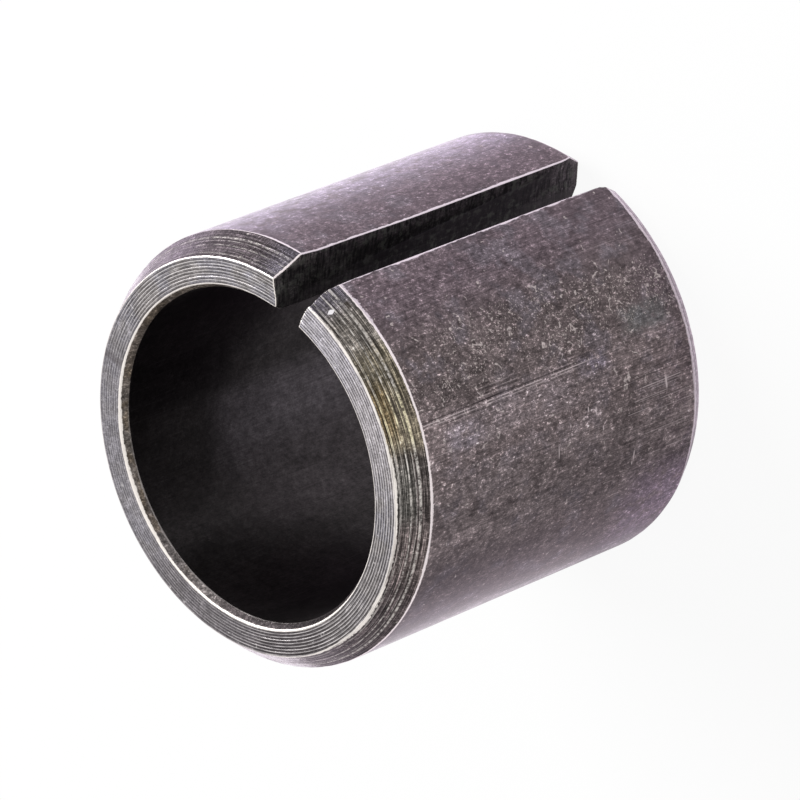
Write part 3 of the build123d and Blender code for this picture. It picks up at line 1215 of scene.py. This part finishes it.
ground = desk.patched(screen(77, 71, 70), bevel_patch, (
    ((352.0, 2.0, 8.0), (-0.2, 0.1), 0.8, (98, 94, 103)),
    ((8.0, 4.0, 8.0), whole, 0.9, (108, 104, 114)),
    ((32.0, 16.0, 12.0), whole, 0.8, (60, 54, 58)),
    ((58.0, 10.0, 13.0), whole, 1.0, (100, 91, 100)),
    # Painted highlight: a near-white band near the upper outline, where the bevel reflects the lamp
    # at a grazing angle.
    ((76.0, 6.0, 8.0), whole, 1.0, (182, 172, 182)),
    ((272.0, 9.0, 10.0), whole, 0.9, (93, 84, 83)),
    ((337.0, 8.0, 8.0), whole, 0.8, (104, 99, 94)),
    ((328.0, 4.0, 6.0), whole, 0.8, (104, 97, 83)),
    ((316.0, 6.0, 8.0), whole, 0.6, (92, 85, 71)),
    ((311.0, 2.0, 3.5), whole, 0.7, (122, 113, 98)),
    ((318.0, 4.0, 7.0), (0.5, 0.68), 0.7, (98, 84, 60)),
    ((296.0, 5.0, 7.0), (0.35, 0.5), 0.25, (82, 88, 80)),
    ((228.0, 4.0, 14.0), whole, 0.9, (66, 60, 63)),
    ((250.0, 12.0, 12.0), whole, 0.8, (66, 59, 60)),
    # Painted highlight: a near-white band near the lower outline.
    ((204.0, 6.0, 13.0), whole, 1.0, (232, 223, 230)),
))
skin = desk.skin(ground, Grain=4.4, Spark=4.0, Lump=1.5, Cloud=0.6)
calm = desk.band(30.0, 20.0, 12.0)
fine_octaves = desk.swung(fine, desk.lowered(12.0, calm, 6.0))
colour = desk.brighten(skin["Colour"], desk.plus(fine_octaves, desk.swung(cross, 2.5)))
print("lead-in bevel so far:", len(desk.tree.nodes), "nodes")

# %% Material: lead-in bevel, its marks
moved = desk.plus(across, desk.swung(desk.noise(at["Unrolled"], 6.0, 1.0), 0.03))
# Ridges: share of the way across, breadth, strength and the length of their beads.
ridges = 0.0
for share_across, breadth, strength, bead in (
    (0.30, 0.035, 0.65, 0.26), (0.41, 0.01, 0.5, 0.5), (0.565, 0.018, 0.75, 0.5),
    (0.7, 0.008, 0.35, 0.8), (0.845, 0.008, 0.7, 1.2), (0.875, 0.008, 0.7, 0.9),
):
    ridge = desk.window(moved, share_across, breadth / 2, breadth)
    lumpy = desk.noise(desk.shift(at["Unrolled"], (9 * share_across, 0, 0)), bead, 3.0, 0.7)
    beaded = desk.times(ridge, desk.smooth(lumpy, 0.36, 0.62))
    ridges = desk.most(ridges, desk.times(beaded, strength))
ridges = desk.weakened(ridges, calm, 0.6)
ridges = desk.times(ridges, desk.raised(1.0, desk.band(310.0, 10.0, 12.0), 0.35))
for share_across, breadth in ((0.23, 0.012), (0.36, 0.012), (0.91, 0.014), (0.5, 0.01)):
    groove = desk.window(moved, share_across, breadth / 2, breadth)
    colour = desk.blend(desk.times(groove, 0.7), colour, screen(44, 39, 38))
oiled = desk.band(315.0, 4.0, 6.0)
warm_ridge = desk.blend(oiled, screen(222, 216, 210), screen(250, 240, 204))
colour = desk.blend(ridges, colour, warm_ridge)
colour = desk.blend(desk.times(desk.hairs(0.8, 0.35), 0.3), colour, screen(214, 208, 200))

off_spot = desk.over(desk.gap(at["Around"], 349.0), 0.75)
off_spot_across = desk.math("POWER", desk.over(desk.gap(across, 0.66), 0.115), 1.6)
spindle = desk.fall(desk.plus(off_spot, off_spot_across), 0.75, 1.05)
colour = desk.blend(spindle, colour, screen(240, 236, 240))
dark_spot = desk.times(desk.band(348.0, 0.7, 0.8), desk.window(across, 0.2, 0.04, 0.05))
colour = desk.blend(desk.times(dark_spot, 0.6), colour, screen(52, 45, 36))

start_width = desk.raised(desk.lowered(0.04, calm, 0.02), desk.band(*THICK_END), 0.03)
start_wear = desk.worn("From Start", start_width, 0.6)
end_width = desk.raised(0.045, desk.band(270.0, 22.0, 22.0), 0.09)
end_wear = desk.worn("To End", end_width, 0.6, 0.3, 2.0)
end_wear = desk.weakened(end_wear, desk.band(42.0, 24.0, 10.0), 0.45)
end_wear = desk.weakened(end_wear, desk.band(275.0, 6.0, 4.0), 0.4)
end_wear = desk.times(end_wear, desk.smooth(fine, 0.36, 0.52, 0.4, 1.0))
slot_wear = desk.worn("From Slot", 0.06, 0.7, seed=SLOT_SEED)
colour = desk.blend(desk.most(start_wear, slot_wear), colour, BARE_STEEL)
colour = desk.blend(end_wear, colour, POLISHED)
roughness = desk.raised(0.27, skin["Swing"], 0.02)
lead = desk.finish(colour, roughness, skin["Grain"], fine)

# %% [markdown]
# ### The turned ends
#
# The end faces were rubbed on whatever the bush stood on, so most ridges of their rings are bare,
# in short dashes. The flanks between them are warm grey with a dark line at the bottom of each
# hollow. On one side the rings were rubbed nearly flat, and fine scratches run across them. Their
# tone round the ring is painted light and shade: lighter towards 334 degrees, darker towards 219.

# %% Material: end faces
desk = Desk("end_face_turned")
at = desk.at
fine = desk.streaks(1.6, 0.08)["Streak"]
cross = desk.streaks(0.07, 0.7)["Streak"]
blotch = desk.smooth(desk.noise(at["Place"], 1.8, 3.0, 0.6), 0.4, 0.6)
ground = desk.blend(blotch, screen(122, 118, 117), screen(120, 118, 124))
# Painted light and shade round the ring: lighter at 334 and 345 degrees, darker at 180, 219 and 254
# degrees, where the flanks of the rings reflect brighter and darker surroundings.
ground = desk.patched(ground, desk.band, (
    (219.0, 17.0, 22.0, 0.95, (69, 65, 67)),
    (180.0, 14.0, 20.0, 0.9, (100, 96, 99)),
    (254.0, 14.0, 14.0, 0.7, (112, 108, 108)),
    (120.0, 20.0, 30.0, 0.7, (124, 121, 126)),
    (334.0, 22.0, 26.0, 0.85, (168, 163, 167)),
    (345.0, 10.0, 12.0, 0.6, (166, 163, 172)),
))
skin = desk.skin(ground, Grain=3.6, Spark=2.0, Lump=1.5, Cloud=0.6)
ring_lines = desk.group(
    ring_group, Distance=desk.minus(at["From Start"], first_ring), Pitch=ring_pitch, Ridge=0.34,
    Unrolled=at["Unrolled"], Dash=1.0, Broken=0.6)
rubbed_flat = desk.band(140.0, 40.0, 35.0)
fine_octaves = desk.swung(fine, desk.lowered(6.0, rubbed_flat, 3.0))
colour = desk.brighten(skin["Colour"], desk.plus(fine_octaves, desk.swung(cross, 2.0)))
ring_strength = desk.lowered(0.85, rubbed_flat, 0.5)
for name, tone in (("Groove", (62, 57, 57)), ("Mask", (212, 207, 206))):
    colour = desk.blend(desk.times(ring_lines[name], ring_strength), colour, screen(*tone))
colour = desk.blend(desk.times(desk.hairs(0.7, 0.35), 0.4), colour, screen(236, 232, 230))
dark_mark = desk.times(desk.band(93.5, 0.7, 1.2), 0.5)
colour = desk.blend(dark_mark, colour, screen(84, 79, 80))

outer_width = desk.raised(0.03, desk.band(296.0, 56.0, 20.0), 0.08)
outer_wear = desk.worn("From Start", outer_width, 0.4, 0.5)
outer_wear = desk.weakened(outer_wear, desk.band(178.0, 26.0, 16.0), 0.5)
outer_wear = desk.weakened(outer_wear, desk.band(270.0, 30.0, 14.0), 0.25)
outer_wear = desk.times(outer_wear, desk.smooth(fine, 0.36, 0.52, 0.5, 1.0))
inner_width = desk.raised(0.045, desk.band(165.0, 64.0, 30.0), 0.06)
inner_wear = desk.worn("To End", inner_width, 0.25, seed=4.0)
inner_wear = desk.weakened(inner_wear, desk.band(*DULL_RIM), 0.3)
inner_wear = desk.times(inner_wear, desk.smooth(fine, 0.34, 0.48, 0.7, 1.0))
slot_wear = desk.worn("From Slot", 0.06, 0.6, seed=SLOT_SEED)
colour = desk.blend(desk.most(desk.most(outer_wear, inner_wear), slot_wear), colour, POLISHED)
ring_relief = desk.times(ring_lines["Hollow"], desk.minus(desk.times(rubbed_flat, 0.2), 0.3))
end_face = desk.finish(colour, 0.36, skin["Grain"], ring_relief)

# %% [markdown]
# ### The mouth bevel, the bore and the slot
#
# Inside, the skin was never rubbed. The bore is a little smoother than the outside and shows faint
# lines along it, and its lighter fields are painted light where light reaches in through the slot.
# The mouth bevel has short bright scratches across it. The walls of the slot have the saw's coarse
# strokes across them, and a smoother band beside the bore, and their tone is painted light and
# shade: lighter near both ends of the slot, darker between.

# %% Material: mouth bevels
desk = Desk("mouth_bevel")
at = desk.at
ground = desk.patched(screen(80, 74, 75), desk.band, (
    (18.0, 6.0, 12.0, 1.0, (205, 198, 194)),
    (56.0, 16.0, 18.0, 1.0, (150, 140, 130)),
    (90.0, 12.0, 16.0, 1.0, (110, 101, 94)),
    (122.0, 14.0, 16.0, 1.0, (100, 94, 90)),
    (165.0, 14.0, 14.0, 1.0, (110, 104, 103)),
    (222.0, 12.0, 14.0, 0.9, (60, 56, 57)),
))
brown_noise = desk.smooth(desk.noise(at["Place"], 1.4, 3.0), 0.44, 0.6)
brown = desk.times(brown_noise, desk.band(100.0, 50.0, 30.0))
ground = desk.blend(desk.times(brown, 0.55), ground, screen(84, 72, 56))
skin = desk.skin(ground, Grain=6.0, Spark=4.0, Lump=2.4)
nicks = desk.streaks(0.06, 0.5, Share=0.3)["Mask"]
patchy = desk.times(desk.smooth(desk.noise(at["Place"], 0.9), 0.5, 0.64), 0.7)
colour = desk.blend(desk.times(nicks, patchy), skin["Colour"], screen(208, 202, 196))
rim_strength = desk.raised(0.15, desk.band(175.0, 25.0, 50.0), 0.7)
rim_wear = desk.times(desk.worn("To End", 0.07, 0.9), rim_strength)
colour = desk.blend(rim_wear, colour, screen(150, 144, 143))
face_width = desk.raised(desk.times(desk.band(130.0, 110.0, 20.0), 0.08),
                         desk.band(125.0, 22.0, 14.0), 0.05)
face_wear = desk.weakened(desk.worn("From Start", face_width, 0.4), desk.band(*DULL_RIM), 0.45)
colour = desk.blend(face_wear, colour, POLISHED)
mouth = desk.finish(colour, 0.42, skin["Grain"], nicks)

# %% Material: bore
desk = Desk("bore_black")
at = desk.at
# Painted light: the lighter fields at 131, 152 and 188 degrees stand for light that reaches into
# the bore through the slot; the field at 105 degrees is darker.
ground = desk.patched(screen(80, 76, 77), desk.field, (
    ((131.0, 8.0, 13.0), (8.1, 8.0, 3.6), 1.0, (116, 110, 115)),
    ((152.0, 9.0, 14.0), (7.1, 8.5, 4.0), 0.8, (98, 92, 95)),
    ((105.0, 6.0, 8.0), (20.4, 3.0, 3.0), 0.8, (62, 58, 60)),
    ((188.0, 8.0, 10.0), (21.0, 4.0, 3.0), 0.8, (92, 86, 88)),
))
skin = desk.skin(ground, Grain=2.4, Spark=0.0, Lump=1.2, Cloud=1.2)
drawn = desk.streaks(0.12, 7.0, Share=0.35)
colour = desk.brighten(skin["Colour"], desk.swung(drawn["Streak"], 1.2))
colour = desk.blend(desk.times(desk.flecks(0.2, 0.02), 0.6), colour, screen(170, 166, 140))
slot_wear = desk.worn("From Slot", 0.05, 0.7, seed=SLOT_SEED)
colour = desk.blend(slot_wear, colour, screen(170, 162, 164))
bore = desk.finish(colour, 0.34, skin["Grain"], desk.times(drawn["Mask"], 0.2))

# %% Material: slot walls
desk = Desk("slot_wall_sawn")
at = desk.at
height = at["Height"]
# Painted light and shade along the wall: lighter near the plain end and near the leading end, where
# light comes in at the slot's open ends, and darkest between them.
inner_painted_light = desk.blend(desk.smooth(height, 16.0, 20.0), screen(50, 47, 49), screen(88, 84, 85))
inner_painted_light = desk.blend(desk.fall(height, 1.0, 5.5), inner_painted_light, screen(100, 93, 97))
lead_end = desk.smooth(height, length - 3.6, length - 1.6)
outer_painted_light = desk.blend(lead_end, screen(88, 81, 85), screen(124, 118, 117))
outer_painted_light = desk.blend(desk.fall(height, 0.6, 2.4), outer_painted_light, screen(112, 104, 108))
ground = desk.blend(desk.fall(at["To End"], 0.5, 1.1), inner_painted_light, outer_painted_light)
skin = desk.skin(ground, Grain=5.0, Spark=4.0, Lump=2.6)
strokes = desk.noise(desk.stretch(at["Place"], (1.0, 0.35, 3.2)), 0.5, 3.0)
deep = desk.times(desk.smooth(strokes, 0.42, 0.6), 0.75)
colour = desk.blend(deep, skin["Colour"], screen(26, 25, 27))
smooth_band = desk.fall(at["From Start"], 0.65, 0.8)
band_strength = desk.smooth(height, 3.0, 7.0, 0.6, 0.2)
colour = desk.blend(desk.times(smooth_band, band_strength), colour, screen(90, 86, 88))
green_noise = desk.noise(desk.shift(at["Place"], (3, 3, 3)), 0.6, 3.0, 0.7)
green_lumps = desk.times(desk.smooth(green_noise, 0.5, 0.66), 0.6)
colour = desk.blend(green_lumps, colour, screen(118, 120, 114))
colour = desk.blend(desk.times(desk.flecks(0.18, 0.3), 0.45), colour, screen(160, 152, 144))
colour = desk.blend(desk.times(desk.worn("To End", 0.06, 0.8), 0.7), colour, BARE_STEEL)
slot_wall = desk.finish(colour, 0.5, skin["Grain"], strokes)

# %% [markdown]
# ## Each face gets its surface
#
# A face belongs to the stretch of the profile that its row lies on, so one table from stretches
# to materials dresses the whole body. The walls of the slot come last in the list of faces.

# %% Materials on the mesh
material_of_zone = {
    "outside": outside, "lead_in": lead, "face": end_face, "mouth": mouth, "bore": bore,
    "foot_mouth": mouth, "foot_face": end_face, "foot_bevel": outside,
}
surfaces = [outside, lead, end_face, mouth, bore, slot_wall]
for material in surfaces:
    mesh.materials.append(material)
zone_material = np.array([surfaces.index(material_of_zone[name]) for name in zones])
turned_material = np.repeat(zone_material[zone_of_row], columns - 1)
wall_material = np.full(len(wall_faces), surfaces.index(slot_wall))
face_material = np.concatenate([turned_material, wall_material])
mesh.polygons.foreach_set("material_index", face_material)
mesh.update()
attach(bush, "root")
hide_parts("split_bush")
print("faces per surface:", np.bincount(face_material))

# %% [markdown]
# ## The studio
#
# The bush stands in a white light tent. A metal shows what is around it, so the white has to be
# there for its reflections too: for the camera, for glossy rays and for rays that pass through
# something the world is plain white at a strength of one. For soft light on the floor it is
# weaker, and a large square lamp beside the bush, turned towards its middle, adds the rest.

# %% World and lamp
WHITE = (1.0, 1.0, 1.0, 1.0)
SKY_LIGHT = 0.4
LAMP_PLACE = Vector((0.56, -0.1, 0.32))
LAMP_SIZE = 0.5
LAMP_WATTS = 7.0
world = bpy.data.worlds.new("light_tent")
bpy.context.scene.world = world
bench = Bench(empty_tree(world))
path = bench.add("ShaderNodeLightPath").outputs
seen = bench.most(path["Is Camera Ray"], path["Is Glossy Ray"])
seen = bench.most(seen, path["Is Transmission Ray"])
strength = bench.raised(SKY_LIGHT, seen, 1 - SKY_LIGHT)
sky = bench.add("ShaderNodeBackground", {"Color": WHITE, "Strength": strength})
bench.add("ShaderNodeOutputWorld", {"Surface": sky.outputs[0]})

lamp_data = bpy.data.lights.new("key_lamp", "AREA")
lamp_data.size = LAMP_SIZE
lamp_data.energy = LAMP_WATTS
lamp = add_object("key_lamp", lamp_data)
lamp.location = LAMP_PLACE
lamp_target = Vector((0, 0, length / 2)) * MILLIMETRE
lamp.rotation_euler = (lamp.location - lamp_target).to_track_quat("Z", "Y").to_euler()
print("lamp:", lamp.name, "at", [round(c, 2) for c in lamp.location], "m")

# %% [markdown]
# ## The floor
#
# The floor is pale. What the camera sees of it is mostly a white glow of strength one, so that it
# doesn't grey with distance, and the rest is a plain diffuse surface that takes the shadow. The
# reflections see less of the glow and more of the shadow, which darkens the side of the bush that
# the key lamp doesn't reach.

# %% Floor
FLOOR_HALF = 0.9
FLOOR_TONE = (0.92, 0.92, 0.92, 1.0)
CAMERA_GLOW = 0.93
MIRROR_GLOW = 0.3
signs = ((-1, -1), (1, -1), (1, 1), (-1, 1))
floor_points = [(x * FLOOR_HALF, y * FLOOR_HALF, 0) for x, y in signs]
floor_mesh = bpy.data.meshes.new("floor")
floor_mesh.from_pydata(floor_points, [], [(0, 1, 2, 3)])
floor = add_object("floor", floor_mesh)
floor_finish = bpy.data.materials.new("pale_floor")
bench = Bench(empty_tree(floor_finish))
path = bench.add("ShaderNodeLightPath").outputs
mirrored = bench.most(path["Is Glossy Ray"], path["Is Transmission Ray"])
camera_share = bench.times(path["Is Camera Ray"], CAMERA_GLOW)
share = bench.most(camera_share, bench.times(mirrored, MIRROR_GLOW))
glow = bench.add("ShaderNodeEmission", {"Color": WHITE, "Strength": 1.0})
matt = bench.add("ShaderNodeBsdfDiffuse", {"Color": FLOOR_TONE})
mix = bench.add("ShaderNodeMixShader", {0: share, 1: matt.outputs[0], 2: glow.outputs[0]})
bench.add("ShaderNodeOutputMaterial", {"Surface": mix.outputs[0]})
floor_mesh.materials.append(floor_finish)
print("floor:", 2 * FLOOR_HALF, "m square")

# %% [markdown]
# ## The camera
#
# A long lens looks down on the bush from beside the slot, and the camera is rolled far over, so
# the standing bush lies in the picture with its leading end down and to the left. Its place is
# the point it aims at, plus the distance along the direction of its azimuth and elevation.

# %% Camera
AIM = Vector((-0.25, 0.0, 12.48)) * MILLIMETRE
DISTANCE = 412.6 * MILLIMETRE
AZIMUTH = math.radians(-39.36)
ELEVATION = math.radians(41.81)
ROLL = math.radians(-111.65)
LENS = 319.13
NEAREST = 0.01
away = Vector((
    math.sin(AZIMUTH) * math.cos(ELEVATION),
    -math.cos(AZIMUTH) * math.cos(ELEVATION),
    math.sin(ELEVATION),
))
camera_data = bpy.data.cameras.new("camera")
camera_data.lens = LENS
camera_data.clip_start = NEAREST
camera = add_object("camera", camera_data)
upright = away.to_track_quat("Z", "Y").to_matrix()
camera.matrix_world = Matrix.Translation(AIM + DISTANCE * away) @ (
    upright @ Matrix.Rotation(ROLL, 3, "Z")).to_4x4()
bpy.context.scene.camera = camera
bpy.context.scene.view_settings.view_transform = "Standard"
print("camera at", [round(c / MILLIMETRE, 1) for c in camera.location], "mm")
